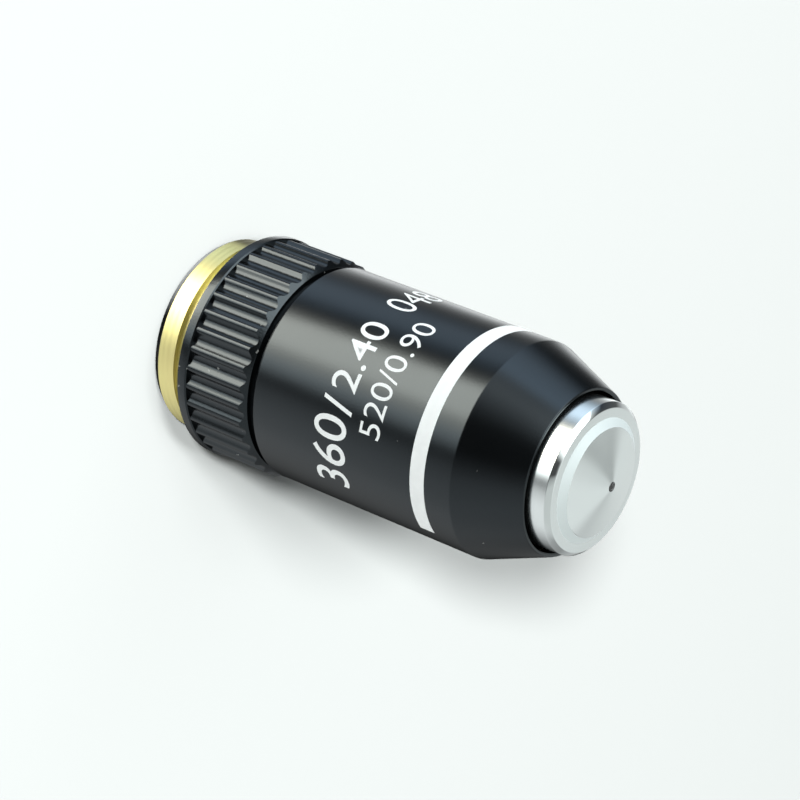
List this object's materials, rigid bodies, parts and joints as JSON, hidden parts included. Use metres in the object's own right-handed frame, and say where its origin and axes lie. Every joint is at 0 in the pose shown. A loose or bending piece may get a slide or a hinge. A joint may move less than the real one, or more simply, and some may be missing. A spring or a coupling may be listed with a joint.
{
  "type": "microscope objective",
  "caption": "High-power immersion microscope objective with a threaded mount, fluted grip, straight black sleeve with a white band, tapered front and spring-loaded polished nose.",
  "frame": {"origin": "centre of the rear face of the mounting thread, the lowest point when the objective stands on its thread", "axes": "+Z along the optical axis, from the thread to the front lens; +X through the guide screw of the nose; -Y is the side in the picture"},
  "size_m": [0.0232, 0.0232, 0.0495],
  "materials": {
    "enamelled_brass": "gloss black enamel over brass, with the thread and its relief left bare and golden",
    "black_enamel": "gloss black enamel",
    "white_enamel": "white enamel",
    "polished_chrome": "turned and polished chrome",
    "bare_brass": "turned",
    "steel": "turned or drawn",
    "blackened_metal": "matt black against stray light",
    "optical_glass": "coated lens glass"
  },
  "bodies": {
    "body": {"mount_body": "enamelled_brass", "outer_sleeve": "black_enamel", "white_band": "white_enamel", "guide_screw": "steel", "baffle_ring": "blackened_metal", "spring_seat": "steel", "return_spring": "steel", "parfocal_shim": "bare_brass"},
    "nose": {"lens_barrel": "bare_brass", "nose_cap": "polished_chrome", "front_lens": "optical_glass", "meniscus_cell": "blackened_metal", "meniscus_lens": "optical_glass", "front_spacer": "blackened_metal", "middle_cell": "bare_brass", "middle_crown": "optical_glass", "middle_flint": "optical_glass", "rear_spacer": "blackened_metal", "rear_cell": "bare_brass", "rear_crown": "optical_glass", "rear_flint": "optical_glass", "lens_lock_ring": "blackened_metal", "aperture_stop": "blackened_metal"}
  },
  "joints": [
    {"name": "nose_slide", "type": "slide", "parent": "body", "child": "nose", "axis": [0, 0, -1], "range_m": [0, 0.002], "stiffness_N_per_m": 400, "springref_m": -0.01, "deforming": ["return_spring"]}
  ]
}
